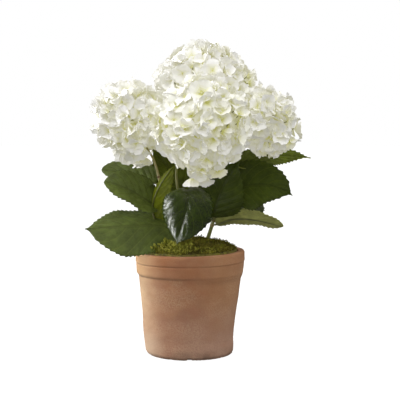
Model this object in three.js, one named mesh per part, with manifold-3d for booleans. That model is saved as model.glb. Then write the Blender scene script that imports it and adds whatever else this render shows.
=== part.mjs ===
// A white mophead hydrangea in a terracotta pot: five stems stand in a mound of moss, each carries one
// round flower head, and broad pointed leaves grow out from the stems on short stalks.
// Millimetres, +Z up. The origin is the centre of the pot's flat underside, and -Y is the front.
import * as THREE from "three";
import { mergeVertices } from "three/addons/utils/BufferGeometryUtils.js";
import Module from "manifold-3d";

const wasm = await Module();
wasm.setup();

const UP = new THREE.Vector3(0, 0, 1);
const CLEAR = 0.3; // running gap between pieces that touch

// ---------------------------------------------------------------- driving dimensions

const POT = {
  height: 178,
  baseRadius: 78,
  rimRadius: 95,
  footHeight: 26, // the lowest part of the wall is upright
  bandHeight: 40, // thick collar below the rim
  bandStep: 3.2, // how far the collar stands out of the wall
  grooveDrop: 17, // shallow step in the collar, below the rim
  wall: 8.5,
  floor: 11,
  rimTilt: 0.018, // hand-thrown rim: height gained per millimetre towards +X
  sides: 40,
};
const MOSS = { edgeDrop: 3, domeRise: 19, bump: 2.2, bumpFade: 15, rings: 6, sides: 32 };
const STEM = { footRadius: 4.2, tipRadius: 2.8, flareLength: 14, socketDepth: 8, sides: 8, steps: 9 };
const HEAD = {
  coreShare: 0.86, // core radius as a share of the head's reach
  coreDetail: 2,
  florets: 34,
  floretRadius: 27,
  floretLift: [0.92, 0.99], // nearest and furthest floret, as shares of the head's reach
  stalkRadius: 2.4,
  bareCone: 30, // degrees round the stem that carry no florets
};
const LEAF = {
  thickness: 1.7,
  petiole: 16, // length of the stalk
  petioleRadius: 1.8,
  petioleSteps: 3,
  bladeSteps: 9,
  widest: 0.38, // where the blade is widest, as a share of its length
  tipPower: 0.95,
  facing: [0, 0, 1], // the way that the upper face turns
  fold: 9, // rise of each half above flat, in degrees
};

// Flower heads: centre, half-sizes, the way that the stem enters, and which way the outline bulges and
// by what share.
const HEADS = {
  left: { centre: [-106, -5, 398], radii: [61, 64, 74], axis: [-0.55, -0.05, 0.83], bulge: [0, 0, -1, 0.03] },
  top: { centre: [23, 44, 458], radii: [84, 82, 85], axis: [0.1, 0.12, 0.99], bulge: [-1, 0, 0, 0.02] },
  front: { centre: [21, -85, 382], radii: [75, 73, 86], axis: [0.5, -0.5, 0.7], bulge: [0, -0.1, -1, 0.08] },
  right: { centre: [120, 0, 398], radii: [60, 62, 66], axis: [0.6, -0.05, 0.8], bulge: [2, 0, -1, 0.22] },
  back: { centre: [8, 128, 372], radii: [71, 67, 69], axis: [0.05, 0.6, 0.8], bulge: [0, 1, -0.3, 0.05] },
};

// Where each stem stands in the moss, from the pot's axis, and how far it leans as it leaves it.
const STEMS = {
  left: { foot: [-33, 0], lean: [-0.1, 0.0] },
  top: { foot: [4, 14], lean: [0.0, 0.05] },
  front: { foot: [-8, -14], lean: [-0.05, -0.1] },
  right: { foot: [27, 8], lean: [0.2, 0.0] },
  back: { foot: [0, 38], lean: [0.0, 0.25] },
};

// Leaves: the stem and the height where the stalk starts, the blade's tip and its width, how far the
// midrib bows away from a straight line, and, where they aren't LEAF's, the way that the upper face turns
// and the fold of each half, in degrees.
const LEAVES = {
  left_low: {
    stem: "left", height: 210, tip: [-176, -58, 222], width: 112,
    bow: [0, 0, 9], facing: [0, -1, 1], fold: -17,
  },
  left_middle: {
    stem: "left", height: 236, tip: [-150, -22, 296], width: 94,
    bow: [0, -14, 5], facing: [0, -1, 1], fold: 20,
  },
  left_upper: {
    stem: "left", height: 292, tip: [-157, 30, 322], width: 60,
    bow: [0, 14, 8], facing: [0, -0.8, 1],
  },
  left_young: {
    stem: "left", height: 218, tip: [-32, -50, 326], width: 60,
    bow: [-42, -12, -8], facing: [0.89, 0.45, 0], fold: 44,
  },
  left_back: { stem: "left", height: 228, tip: [-128, 112, 236], width: 88, bow: [0, 0, 40] },
  front_hanging: {
    stem: "front", height: 262, tip: [-14, -112, 199], width: 88,
    bow: [26, 0, 62], facing: [0, -0.5, 1],
  },
  right_inner: {
    stem: "right", height: 224, tip: [84, -30, 334], width: 84,
    bow: [-14, -10, 4], facing: [0.1, -1, 0.3],
  },
  right_large: {
    stem: "right", height: 280, tip: [176, -18, 275], width: 94,
    bow: [2, 10, 28], facing: [0, -1, 0.5],
  },
  right_low: {
    stem: "right", height: 214, tip: [160, -2, 224], width: 62,
    bow: [0, 0, 34], facing: [0, 0.8, 1], fold: 20,
  },
  right_upper: {
    stem: "right", height: 320, tip: [211, 56, 344], width: 52,
    bow: [-6, 62, 16], facing: [0, -0.6, 1],
  },
  right_back: { stem: "right", height: 250, tip: [144, 100, 236], width: 90, bow: [0, 0, 38] },
  top_left: {
    stem: "top", height: 270, tip: [-68, 46, 354], width: 74,
    bow: [0, 10, 4], facing: [0, -1, 0.5],
  },
  top_right: { stem: "top", height: 296, tip: [84, 84, 338], width: 66, bow: [0, 0, 12] },
  back_low: { stem: "back", height: 208, tip: [18, 186, 204], width: 94, bow: [0, 0, 34] },
  back_right: { stem: "back", height: 254, tip: [84, 182, 284], width: 84, bow: [0, 0, 34] },
  back_left: { stem: "back", height: 248, tip: [-104, 164, 262], width: 88, bow: [0, 0, 38] },
  back_upper: { stem: "back", height: 282, tip: [-108, 100, 322], width: 76, bow: [0, 0, 20] },
};

const COLOURS = {
  terracotta: { color: 0xa9694a, roughness: 0.92, metalness: 0 },
  moss: { color: 0x4b5314, roughness: 1, metalness: 0 },
  stem: { color: 0x5d6b2c, roughness: 0.6, metalness: 0 },
  leaf: { color: 0x2f4a1e, roughness: 0.42, metalness: 0 },
  young: { color: 0x6d7d33, roughness: 0.5, metalness: 0 },
  petal: { color: 0xf1f1e2, roughness: 0.8, metalness: 0 },
};

// ---------------------------------------------------------------- shared geometry

const radians = THREE.MathUtils.degToRad;
const vector = (list) => new THREE.Vector3(...list);

// A repeatable number from 0 to 1 for item i of the series named by salt.
function scatter(i, salt) {
  const v = Math.sin(i * 12.9898 + salt * 78.233) * 43758.5453;
  return v - Math.floor(v);
}

function geometryOf(points, triangles) {
  const geometry = new THREE.BufferGeometry();
  geometry.setAttribute("position", new THREE.Float32BufferAttribute(points.flatMap((p) => p.toArray()), 3));
  geometry.setIndex(triangles);
  return geometry;
}

// Joins closed rings of equal count, and closes both ends with flat caps.
function loft(rings) {
  const count = rings[0].length;
  const triangles = [];
  for (let r = 0; r + 1 < rings.length; r += 1) {
    for (let k = 0; k < count; k += 1) {
      const a = r * count + k;
      const b = r * count + ((k + 1) % count);
      triangles.push(a, b, a + count, b, b + count, a + count);
    }
  }
  const last = (rings.length - 1) * count;
  for (let k = 1; k + 1 < count; k += 1) triangles.push(0, k + 1, k, last, last + k, last + k + 1);
  return geometryOf(rings.flat(), triangles);
}

function solidOf(geometry) {
  const bare = geometry.clone();
  bare.deleteAttribute("normal");
  bare.deleteAttribute("uv");
  const merged = mergeVertices(bare, 1e-3);
  return new wasm.Manifold(
    new wasm.Mesh({
      numProp: 3,
      vertProperties: new Float32Array(merged.attributes.position.array),
      triVerts: new Uint32Array(merged.index.array),
    }),
  );
}

function geometryFrom(solid) {
  const mesh = solid.getMesh();
  const geometry = new THREE.BufferGeometry();
  geometry.setAttribute("position", new THREE.BufferAttribute(new Float32Array(mesh.vertProperties), 3));
  geometry.setIndex(new THREE.BufferAttribute(new Uint32Array(mesh.triVerts), 1));
  return geometry;
}

// The largest body of a solid, without the scraps that a cut leaves.
function mainBody(solid) {
  return solid.decompose().reduce((best, body) => (body.volume() > best.volume() ? body : best));
}

function node(name, geometry, look) {
  const flat = geometry.index ? geometry.toNonIndexed() : geometry;
  flat.computeVertexNormals();
  const mesh = new THREE.Mesh(flat, new THREE.MeshStandardMaterial(look));
  mesh.name = name;
  return mesh;
}

// ---------------------------------------------------------------- pot and moss

// The thrown pot isn't quite true: its rim rises a little towards +X, fading out towards the foot.
function leant(geometry) {
  const at = geometry.attributes.position;
  for (let i = 0; i < at.count; i += 1) {
    const share = THREE.MathUtils.clamp(at.getZ(i) / POT.height, 0, 1);
    at.setZ(i, at.getZ(i) + POT.rimTilt * at.getX(i) * share ** 3);
  }
  return geometry;
}

// LatheGeometry turns its profile round +Y, so the result is stood up along +Z.
function turned(profile, sides) {
  const points = profile.map(([r, z]) => new THREE.Vector2(r, z));
  return new THREE.LatheGeometry(points, sides).rotateX(Math.PI / 2);
}

// The outside of the wall below the collar, and the inside of the whole pot.
function wallRadius(z) {
  const bandFoot = POT.height - POT.bandHeight;
  const neckRadius = POT.rimRadius - POT.bandStep - 2.5;
  const share = Math.max(0, z - POT.footHeight) / (bandFoot - POT.footHeight);
  return POT.baseRadius + (neckRadius - POT.baseRadius) * share;
}

function innerRadius(z) {
  return Math.min(wallRadius(z), wallRadius(POT.height - POT.bandHeight) + 1.5) - POT.wall;
}

function pot() {
  const top = POT.height;
  const bandFoot = top - POT.bandHeight;
  const groove = top - POT.grooveDrop;
  const outer = [
    [0, 0],
    [POT.baseRadius - 4, 0],
    [POT.baseRadius - 0.5, 4],
    [wallRadius(POT.footHeight), POT.footHeight],
    [wallRadius(bandFoot), bandFoot],
    [wallRadius(bandFoot) + POT.bandStep, bandFoot + 4],
    [POT.rimRadius - 1.6, groove - 3],
    [POT.rimRadius, groove + 3],
    [POT.rimRadius, top - 4],
    [POT.rimRadius - 3, top],
  ];
  const inner = [
    [innerRadius(top) + 1.5, top],
    [innerRadius(top), top - 3],
    [innerRadius(bandFoot), bandFoot],
    [innerRadius(POT.floor), POT.floor],
    [0, POT.floor],
  ];
  return leant(turned([...outer, ...inner], POT.sides));
}

// The height of the moss at a distance from the pot's axis.
function mossHeight(radius) {
  const share = Math.min(1, radius / innerRadius(POT.height));
  return POT.height - MOSS.edgeDrop + MOSS.domeRise * (1 - share ** 2.2);
}

// The filling: packed up to just under the rim, with a lumpy dome of moss and a socket for each stem.
function mossFill() {
  const neck = POT.height - POT.bandHeight;
  const shoulder = POT.height - MOSS.edgeDrop - 1;
  const gap = CLEAR + 0.3; // the faceted wall comes nearer than its corners
  const edge = innerRadius(POT.height) - gap;
  const profile = [
    [0, POT.floor + CLEAR],
    [innerRadius(POT.floor) - gap, POT.floor + CLEAR],
    [innerRadius(neck) - gap, neck],
    [edge, shoulder],
  ];
  for (let ring = 1; ring < MOSS.rings; ring += 1) {
    const radius = edge * (1 - ring / MOSS.rings);
    profile.push([radius, mossHeight(radius)]);
  }
  profile.push([0, mossHeight(0)]);
  const geometry = turned(profile, MOSS.sides);
  const at = geometry.attributes.position;
  for (let i = 0; i < at.count; i += 1) {
    const [x, y, z] = [at.getX(i), at.getY(i), at.getZ(i)];
    const inside = THREE.MathUtils.clamp((edge - Math.hypot(x, y)) / MOSS.bumpFade, 0, 1);
    const bump = Math.sin(x * 0.21 + 1.3) * Math.cos(y * 0.24) + Math.sin(x * 0.11 - y * 0.17);
    if (z > shoulder) at.setZ(i, z + MOSS.bump * bump * inside);
  }
  const sockets = Object.keys(STEMS).map((name) => solidOf(stem(name, CLEAR)));
  return geometryFrom(sockets.reduce((fill, socket) => fill.subtract(socket), solidOf(leant(geometry))));
}

// ---------------------------------------------------------------- stems

function stemFoot(name) {
  const [x, y] = STEMS[name].foot;
  return new THREE.Vector3(x, y, mossHeight(Math.hypot(x, y)) - STEM.socketDepth);
}

// The point under a flower head where its own stalk meets the stem.
function headFoot(name) {
  const way = vector(HEADS[name].axis).normalize().negate();
  return vector(HEADS[name].centre).addScaledVector(way, headReach(name, way));
}

function stemCurve(name) {
  const foot = stemFoot(name);
  const tip = headFoot(name);
  const axis = vector(HEADS[name].axis).normalize();
  const rise = tip.z - foot.z;
  const [leanX, leanY] = STEMS[name].lean;
  return new THREE.CubicBezierCurve3(
    foot,
    foot.clone().add(new THREE.Vector3(leanX, leanY, 1).multiplyScalar(rise * 0.45)),
    tip.clone().addScaledVector(axis, -rise * 0.3),
    tip.clone().addScaledVector(axis, -CLEAR),
  );
}

function stemRadius(name, height) {
  const foot = stemFoot(name).z;
  const share = (height - foot) / (headFoot(name).z - foot);
  const flare = Math.exp(-(height - foot) / STEM.flareLength);
  const slim = THREE.MathUtils.lerp(STEM.footRadius - 0.9, STEM.tipRadius, share);
  return slim + (STEM.footRadius - slim) * flare;
}

// The place on a stem's curve at a height, found by halving, as every stem climbs all the way.
function placeOnStem(name, height) {
  const curve = stemCurve(name);
  let [low, high] = [0, 1];
  for (let i = 0; i < 30; i += 1) {
    const middle = (low + high) / 2;
    if (curve.getPoint(middle).z < height) low = middle;
    else high = middle;
  }
  return { point: curve.getPoint(low), along: curve.getTangent(low) };
}

// One tapering limb with a flat foot. A swell makes it that much fatter and deeper, to cut its socket.
function stem(name, swell = 0) {
  const curve = stemCurve(name);
  const rings = [];
  for (let step = 0; step <= STEM.steps; step += 1) {
    const share = (step / STEM.steps) ** 1.2;
    const centre = curve.getPoint(share);
    const along = step === 0 ? UP.clone() : curve.getTangent(share);
    const side = new THREE.Vector3(0, 1, 0).cross(along).normalize();
    const across = along.clone().cross(side);
    const radius = stemRadius(name, centre.z) + swell;
    if (step === 0) centre.z -= swell;
    rings.push(
      Array.from({ length: STEM.sides }, (_, k) => {
        const turn = (2 * Math.PI * k) / STEM.sides;
        return centre
          .clone()
          .addScaledVector(side, radius * Math.cos(turn))
          .addScaledVector(across, radius * Math.sin(turn));
      }),
    );
  }
  return loft(rings);
}

// ---------------------------------------------------------------- flower heads

// The distance from a head's centre to its outline: an ellipsoid with one soft bulge.
function headReach(name, way) {
  const { radii, bulge } = HEADS[name];
  const [x, y, z, rise] = bulge;
  const near = Math.max(0, way.dot(vector([x, y, z]).normalize()));
  return (1 + rise * near ** 8) / way.clone().divide(vector(radii)).length();
}

// Half-spaces that keep each head to its own side where two heads press together.
function borders(name) {
  const middle = vector(HEADS[name].centre);
  return Object.keys(HEADS)
    .filter((other) => other !== name)
    .map((other) => {
      const between = vector(HEADS[other].centre).sub(middle);
      const normal = between.clone().normalize();
      const own = headReach(name, normal);
      const theirs = headReach(other, normal.clone().negate());
      return { normal, offset: (between.length() * own) / (own + theirs) - CLEAR };
    });
}

// One floret: four broad petals in a shallow dish on a three-sided stalk that starts in the core.
function floret(foot, outward, spin, radius, depth) {
  const side = Math.abs(outward.z) > 0.9 ? new THREE.Vector3(1, 0, 0) : UP.clone();
  side.cross(outward).normalize().applyAxisAngle(outward, spin);
  const across = outward.clone().cross(side);
  const place = (turn, r, rise) =>
    foot
      .clone()
      .addScaledVector(side, r * Math.cos(turn))
      .addScaledVector(across, r * Math.sin(turn))
      .addScaledVector(outward, rise);
  const rim = [];
  for (let petal = 0; petal < 4; petal += 1) {
    const middle = (petal * Math.PI) / 2;
    rim.push(place(middle - 0.42, radius, -radius * 0.16), place(middle + 0.42, radius, -radius * 0.16));
    rim.push(place(middle + Math.PI / 4, radius * 0.55, radius * 0.02));
  }
  const third = (2 * Math.PI) / 3;
  const neck = [0, 1, 2].map((k) => place(k * third, HEAD.stalkRadius, -radius * 0.2));
  const root = [0, 1, 2].map((k) => place(k * third, HEAD.stalkRadius, -depth));
  const points = [...rim, ...neck, ...root, place(0, 0, -radius * 0.03)];
  const [n, r, middle] = [12, 15, 18]; // where the neck, the root and the centre start in the points
  const triangles = [];
  for (let k = 0; k < 12; k += 1) {
    const next = (k + 1) % 12;
    const below = Math.floor(k / 4);
    triangles.push(middle, k, next, n + below, next, k);
    if (k % 4 === 3) triangles.push(n + below, n + ((below + 1) % 3), next);
  }
  for (let k = 0; k < 3; k += 1) {
    const next = (k + 1) % 3;
    triangles.push(n + k, r + k, n + next, n + next, r + k, r + next);
  }
  triangles.push(r, r + 2, r + 1);
  return solidOf(geometryOf(points, triangles));
}

// A round core on the head's own stalk, with florets spread evenly over it that stand out of it.
function head(name, series) {
  const middle = vector(HEADS[name].centre);
  const stemWay = vector(HEADS[name].axis).normalize();
  const limits = borders(name);
  const core = new THREE.IcosahedronGeometry(1, HEAD.coreDetail);
  const at = core.attributes.position;
  for (let i = 0; i < at.count; i += 1) {
    const way = new THREE.Vector3().fromBufferAttribute(at, i).normalize();
    const point = middle.clone().addScaledVector(way, HEAD.coreShare * headReach(name, way));
    at.setXYZ(i, ...point.toArray());
  }
  const foot = headFoot(name);
  const radius = STEM.tipRadius;
  const stalk = new THREE.CylinderGeometry(radius, radius, foot.distanceTo(middle), STEM.sides);
  stalk.rotateX(Math.PI / 2).lookAt(stemWay);
  stalk.translate(...foot.clone().lerp(middle, 0.5).toArray());
  const pieces = [solidOf(core), solidOf(stalk)];
  const [nearest, furthest] = HEAD.floretLift;
  for (let i = 0; i < HEAD.florets; i += 1) {
    const level = 1 - (2 * (i + 0.5)) / HEAD.florets;
    const round = i * Math.PI * (3 - Math.sqrt(5)) + scatter(i, series) * 0.35;
    const flat = Math.sqrt(1 - level * level);
    const outward = new THREE.Vector3(flat * Math.cos(round), flat * Math.sin(round), level);
    if (outward.angleTo(stemWay) > Math.PI - radians(HEAD.bareCone)) continue;
    const reach = headReach(name, outward);
    const share = THREE.MathUtils.lerp(nearest, furthest, scatter(i, series + 0.5));
    const base = middle.clone().addScaledVector(outward, reach * share);
    const crossed = limits.some(({ normal, offset }) => base.clone().sub(middle).dot(normal) > offset - 4);
    if (crossed) continue;
    const size = Math.min(HEAD.floretRadius, reach * 0.36);
    const depth = reach * (share - HEAD.coreShare) + 9;
    pieces.push(floret(base, outward, scatter(i, series + 0.9) * Math.PI, size, depth));
  }
  let solid = wasm.Manifold.union(pieces);
  limits.forEach(({ normal, offset }) => {
    const inward = normal.clone().negate();
    solid = solid.trimByPlane(inward.toArray(), inward.dot(middle) - offset);
  });
  return geometryFrom(mainBody(solid));
}

// ---------------------------------------------------------------- leaves

// Half the blade's width at a share of its length: rounded at the base, drawn out to a point at the tip.
function halfWidth(width, share) {
  const { widest, tipPower } = LEAF;
  const basePower = (widest * tipPower) / (1 - widest);
  return (width / 2) * (share / widest) ** basePower * ((1 - share) / (1 - widest)) ** tipPower;
}

// The midrib, from the side of the stem to the tip of the blade.
function midrib(name) {
  const { stem: stemName, height, tip, bow } = LEAVES[name];
  const { point, along } = placeOnStem(stemName, height);
  const end = vector(tip);
  const bend = point.clone().lerp(end, 0.62).add(vector(bow));
  const out = bend.clone().sub(point).projectOnPlane(along).normalize();
  const root = point.clone().addScaledVector(out, stemRadius(stemName, height) + CLEAR);
  const start = out.clone().addScaledVector(along, 0.7).setLength(end.distanceTo(root) * 0.3);
  const curve = new THREE.CubicBezierCurve3(root, root.clone().add(start), bend, end);
  return { curve, out };
}

function leafBlade(name) {
  const { width, facing, fold } = { ...LEAF, ...LEAVES[name] };
  const { curve, out } = midrib(name);
  const stalkShare = LEAF.petiole / curve.getLength();
  // Stations along the midrib: the stalk's, then the blade's, closer together towards the base.
  const stations = [];
  for (let i = 0; i < LEAF.petioleSteps; i += 1) stations.push((stalkShare * i) / LEAF.petioleSteps);
  for (let i = 0; i <= LEAF.bladeSteps; i += 1) {
    const share = 0.004 + 0.988 * (i / LEAF.bladeSteps) ** 1.15;
    stations.push(stalkShare + (1 - stalkShare) * share);
  }
  const rings = stations.map((station, index) => {
    const centre = curve.getPointAt(station);
    const along = index === 0 ? out : curve.getTangentAt(station);
    const side = along.clone().cross(vector(facing)).normalize();
    const face = side.clone().cross(along);
    const onStalk = station < stalkShare;
    const share = (station - stalkShare) / (1 - stalkShare);
    const half = onStalk ? LEAF.petioleRadius : Math.max(LEAF.petioleRadius, halfWidth(width, share));
    const thick = onStalk ? LEAF.petioleRadius : LEAF.thickness / 2;
    const edgeThick = onStalk ? thick / 2 : thick;
    const tilt = onStalk ? 0 : radians(fold);
    const edge = (sign, rise) =>
      centre
        .clone()
        .addScaledVector(side, sign * half * Math.cos(tilt))
        .addScaledVector(face, half * Math.sin(tilt) + rise);
    const rib = (rise) => centre.clone().addScaledVector(face, rise);
    return [
      rib(-thick),
      edge(-1, -edgeThick),
      edge(-1, edgeThick),
      rib(thick),
      edge(1, edgeThick),
      edge(1, -edgeThick),
    ];
  });
  return loft(rings);
}

// ---------------------------------------------------------------- assembly

const plant = new THREE.Group();
plant.add(node("pot", pot(), COLOURS.terracotta));
plant.add(node("moss_fill", mossFill(), COLOURS.moss));
Object.keys(STEMS).forEach((name, index) => {
  plant.add(node(`stem_${name}`, stem(name), COLOURS.stem));
  plant.add(node(`flower_head_${name}`, head(name, index + 1), COLOURS.petal));
});
Object.keys(LEAVES).forEach((name) => {
  plant.add(node(`leaf_${name}`, leafBlade(name), name === "left_young" ? COLOURS.young : COLOURS.leaf));
});

export default plant;
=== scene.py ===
from math import copysign, cos, exp, hypot, pi, radians, sin, sqrt

import bmesh
import bpy
import numpy as np
from mathutils import Matrix, Vector, noise


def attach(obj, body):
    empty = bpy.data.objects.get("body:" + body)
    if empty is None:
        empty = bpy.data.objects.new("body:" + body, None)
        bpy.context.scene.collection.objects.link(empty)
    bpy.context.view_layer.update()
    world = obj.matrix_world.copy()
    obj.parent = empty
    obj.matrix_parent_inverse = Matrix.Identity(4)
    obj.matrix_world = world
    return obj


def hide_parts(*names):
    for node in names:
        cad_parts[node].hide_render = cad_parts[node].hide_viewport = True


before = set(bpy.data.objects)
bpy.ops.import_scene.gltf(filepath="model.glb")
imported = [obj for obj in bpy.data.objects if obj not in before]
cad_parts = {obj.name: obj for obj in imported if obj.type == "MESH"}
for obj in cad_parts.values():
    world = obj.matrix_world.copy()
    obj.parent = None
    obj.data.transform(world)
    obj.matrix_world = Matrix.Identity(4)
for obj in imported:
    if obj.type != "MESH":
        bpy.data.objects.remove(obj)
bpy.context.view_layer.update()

scene = bpy.context.scene

# ------------------------ studio
# A long lens stands level with the flowers and looks a few degrees down. A window light at the left, a
# smaller one above and pale card all round light the set. Two small lights are only mirrored in the leaves.
CAMERA_PLACE = (0.0173, -1.75, 0.390)
CAMERA_DOWN = radians(4.05)
LENS_MM = 91.0
LIGHTS_AIM = Vector((0.0, 0.0, 0.32))
CARD_SIDE = 0.66
CARD_ABOVE = 1.52
CARD_MIRRORED = 0.08
FLOOR_SIZE = 40.0
FLOOR_DROP = 0.0002
FLOOR_GREY = (0.15, 0.15, 0.15, 1)
FLOOR_SEEN = 0.92
FLOOR_GLOW = 0.12

camera_data = bpy.data.cameras.new("camera")
camera_data.lens = LENS_MM
camera = bpy.data.objects.new("camera", camera_data)
camera.location = CAMERA_PLACE
camera.rotation_euler = (pi / 2 - CAMERA_DOWN, 0.0, 0.0)
scene.collection.objects.link(camera)
scene.camera = camera
scene.view_settings.view_transform = "Standard"


def soft_box(name, place, size, power, shines=True, mirrored=True):
    """A square light turned to the plant, in metres and watts. It may only shine, or only be mirrored."""
    data = bpy.data.lights.new(name, "AREA")
    data.size = size
    data.energy = power
    lamp = bpy.data.objects.new(name, data)
    lamp.location = place
    lamp.rotation_euler = (Vector(place) - LIGHTS_AIM).to_track_quat("Z", "Y").to_euler()
    lamp.visible_diffuse = shines
    lamp.visible_glossy = mirrored
    scene.collection.objects.link(lamp)


def add(tree, kind, values=None, **settings):
    """A new shader node. A value is a plain number or colour for that socket, or a socket to join to it."""
    made = tree.nodes.new("ShaderNode" + kind)
    for label, value in settings.items():
        setattr(made, label, value)
    for label, value in (values or {}).items():
        if isinstance(value, bpy.types.NodeSocket):
            tree.links.new(value, made.inputs[label])
        else:
            made.inputs[label].default_value = value
    return made


def combined(tree, operation, *values):
    """A sum on plain numbers and sockets."""
    return add(tree, "Math", dict(enumerate(values)), operation=operation).outputs[0]


def new_finish(name, roughness, mirror=0.5):
    """A material by how rough it is and how much it mirrors, with its nodes and its shader."""
    made = bpy.data.materials.new(name)
    made.use_nodes = True
    shader = made.node_tree.nodes["Principled BSDF"]
    shader.inputs["Roughness"].default_value = roughness
    shader.inputs["Specular IOR Level"].default_value = mirror
    return made, made.node_tree, shader


def in_scene(mesh, finishes):
    """A smooth object of that mesh, with its finishes."""
    mesh.shade_smooth()
    for finish in finishes:
        mesh.materials.append(finish)
    made = bpy.data.objects.new(mesh.name, mesh)
    scene.collection.objects.link(made)
    return made


def finished(name, shape, *finishes):
    """The object that a shape has become."""
    mesh = bpy.data.meshes.new(name)
    shape.to_mesh(mesh)
    shape.free()
    return in_scene(mesh, finishes)


soft_box("window_light", (-1.66, 0.36, 0.86), 1.35, 36.0, mirrored=False)
soft_box("top_light", (-0.75, -0.75, 1.90), 1.1, 3.0, mirrored=False)
soft_box("low_strip", (-1.70, -0.82, 0.17), 0.42, 34.0, shines=False)
soft_box("high_strip", (-1.64, 0.12, 0.86), 0.42, 13.0, shines=False)

world = bpy.data.worlds.new("pale_card")
scene.world = world
world.use_nodes = True
card = world.node_tree
climb = add(card, "SeparateXYZ", {0: add(card, "TexCoord").outputs["Generated"]}).outputs["Z"]
limits = {"Value": climb, "From Min": -0.1, "From Max": 0.8, "To Min": CARD_SIDE, "To Max": CARD_ABOVE}
brightness = add(card, "MapRange", limits).outputs["Result"]
rays = add(card, "LightPath").outputs
limits = {"Value": rays["Is Glossy Ray"], "To Min": 1.0, "To Max": CARD_MIRRORED}
dimmed = combined(card, "MULTIPLY", brightness, add(card, "MapRange", limits).outputs["Result"])
card_light = card.nodes["Background"].inputs
card_light["Color"].default_value = (1.0, 1.0, 1.0, 1.0)
card.links.new(combined(card, "MAXIMUM", dimmed, rays["Is Camera Ray"]), card_light["Strength"])

floor_paint, tree, shader = new_finish("floor_paint", 0.9)
shader.inputs["Base Color"].default_value = FLOOR_GREY
shader.inputs["Emission Color"].default_value = (1, 1, 1, 1)
rays = add(tree, "LightPath").outputs
seen = combined(tree, "MULTIPLY", rays["Is Camera Ray"], FLOOR_SEEN)
glow = combined(tree, "MULTIPLY_ADD", rays["Is Diffuse Ray"], FLOOR_GLOW, seen)
tree.links.new(glow, shader.inputs["Emission Strength"])
floor_shape = bmesh.new()
bmesh.ops.create_grid(floor_shape, x_segments=1, y_segments=1, size=FLOOR_SIZE / 2)
bmesh.ops.translate(floor_shape, verts=floor_shape.verts, vec=(0.0, 0.0, -FLOOR_DROP))
floor = finished("floor", floor_shape, floor_paint)

# ------------------------ pot
# A thrown terracotta pot with a thick collar below the rim and a shallow groove in the collar. The clay is
# bare, limed where it has stood wet, and worn at the foot. It stands on its flat underside.
POT_HEIGHT = 0.178
BASE_RADIUS = 0.078
RIM_RADIUS = 0.095
FOOT_HEIGHT = 0.026
COLLAR_HEIGHT = 0.040
COLLAR_STEP = 0.0032
GROOVE_DROP = 0.017
WALL = 0.0085
FLOOR_THICKNESS = 0.011
RIM_TILT = 0.018
POT_TURNS = 200
CORNER_CUT = 0.0016
PROFILE_STEP = 0.0032
SLOW_WOBBLE = 0.0009
TURNING_RINGS = 0.00022
DENT_DEPTH = 0.00030
PIT_DEPTH = 0.00012
# Where the wall bellies or draws in: on which side of X, by how much, at what height and over what height.
BELLIES = ((-1, 0.0022, 0.034, 0.024), (1, -0.0024, 0.045, 0.048))
CHIP_DEPTH = 0.0034
WORN_HEIGHT = 0.012
WORN_DEPTH = 0.0026
GROOVE_FILL = 0.0013
COLLAR_FILL = 0.0020
NICK_HEIGHT = 0.0030
NICK_REACH = 0.0035
CRUMB_HEIGHT = 0.0016
UNDER_HEIGHT = 0.008
UNDER_RADIUS = 0.066
CLAY = (0.320, 0.141, 0.073, 1)
CLAY_RED = (0.288, 0.116, 0.061, 1)
CLAY_BROWN = (0.262, 0.136, 0.078, 1)
CLAY_TAN = (0.390, 0.206, 0.098, 1)
CLAY_BAKED = (0.300, 0.118, 0.044, 1)
# Gold that stands in for the window light on the left of the collar: painted light.
CLAY_LIT_GOLD = (0.640, 0.385, 0.185, 1)
LIME = (0.570, 0.390, 0.230, 1)
LIME_FOOT = (0.600, 0.460, 0.335, 1)
CLAY_GREY = (0.365, 0.212, 0.152, 1)
# Soot on the scuffed foot, and the colour of the painted shade under the collar and in the groove.
SOOT_AND_SHADE = (0.120, 0.080, 0.055, 1)

collar_foot = POT_HEIGHT - COLLAR_HEIGHT
groove = POT_HEIGHT - GROOVE_DROP
neck_radius = RIM_RADIUS - COLLAR_STEP - 0.0025
# Painted shade under the collar and in the groove, and a darker foot: the height, the spread and how
# strong.
dark_lines = ((collar_foot + 0.001, 0.0024, 0.54), (groove - 0.0004, 0.0020, 0.40), (0.0, 0.009, 0.25))


def wall_radius(z):
    """The outside of the wall below the collar."""
    climbed = max(0.0, z - FOOT_HEIGHT) / (collar_foot - FOOT_HEIGHT)
    return BASE_RADIUS + (neck_radius - BASE_RADIUS) * climbed


def inner_radius(z):
    return min(wall_radius(z), neck_radius + 0.0015) - WALL


def rounded(corners, cut, spacing):
    """The line through these corners, each rounded off at a distance of cut, with a point every spacing."""
    line = [Vector(corners[0])]
    for before, corner, after in zip(corners, corners[1:], corners[2:]):
        corner = Vector(corner)
        to_before, to_after = Vector(before) - corner, Vector(after) - corner
        near = corner + to_before.normalized() * min(cut, to_before.length * 0.45)
        far = corner + to_after.normalized() * min(cut, to_after.length * 0.45)
        line += [near, near.lerp(corner, 0.5).lerp(corner.lerp(far, 0.5), 0.5), far]
    line.append(Vector(corners[-1]))
    filled = [line[0]]
    for start, end in zip(line, line[1:]):
        steps = max(1, round((end - start).length / spacing))
        filled += [start.lerp(end, (k + 1) / steps) for k in range(steps)]
    return filled


def spun(line, turns):
    """The closed shape that a line of points turns into round the Z axis."""
    shape = bmesh.new()
    verts = [shape.verts.new(point) for point in line]
    edges = [shape.edges.new(pair) for pair in zip(verts, verts[1:])]
    bmesh.ops.spin(shape, geom=verts + edges, axis=(0, 0, 1), angle=2 * pi, steps=turns, use_merge=True)
    bmesh.ops.remove_doubles(shape, verts=shape.verts, dist=1e-6)
    return shape


def hump(value, middle, reach):
    """A smooth hump of height 1 over that middle."""
    return exp(-(((value - middle) / reach) ** 2))


def leant(point):
    """The rim of the thrown pot rises a little towards +X, fading out towards the foot."""
    share = min(1.0, max(0.0, point.z / POT_HEIGHT))
    return point.z + RIM_TILT * point.x * share**3


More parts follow.
